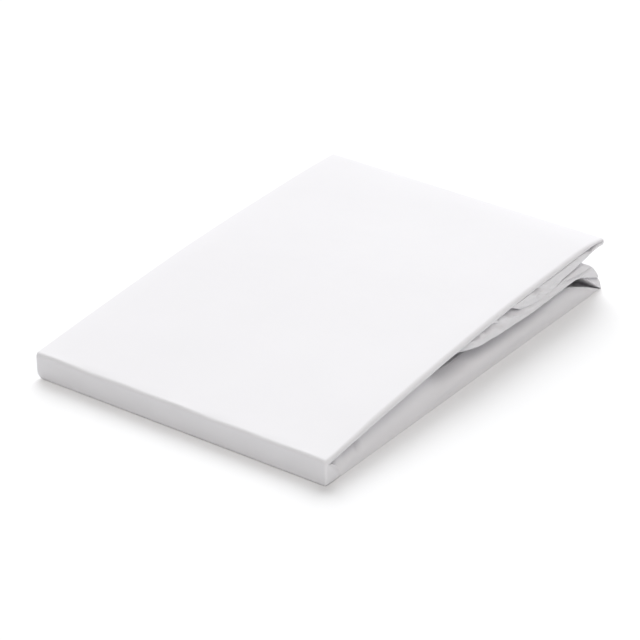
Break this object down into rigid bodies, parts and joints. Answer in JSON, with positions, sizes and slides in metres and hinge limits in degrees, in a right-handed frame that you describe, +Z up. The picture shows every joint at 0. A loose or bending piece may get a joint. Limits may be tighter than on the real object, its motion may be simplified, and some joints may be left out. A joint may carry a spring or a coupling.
{
  "type": "folded flat sheet",
  "caption": "White flat sheet folded into a flat wedge-shaped packet: smooth top and spine, folded layers and a turned-up wall along the open side.",
  "frame": {"origin": "middle of the packet's footprint, on the surface it rests on", "axes": "+Z up, +Y from the spine to the open far folds, X along the spine with the turned-up wall at +X"},
  "size_m": [0.27, 0.385, 0.0485],
  "materials": {
    "sheet": "matt white plain-weave cotton with a faint soft sheen"
  },
  "bodies": {
    "root": {"sheet": "sheet"}
  },
  "joints": []
}
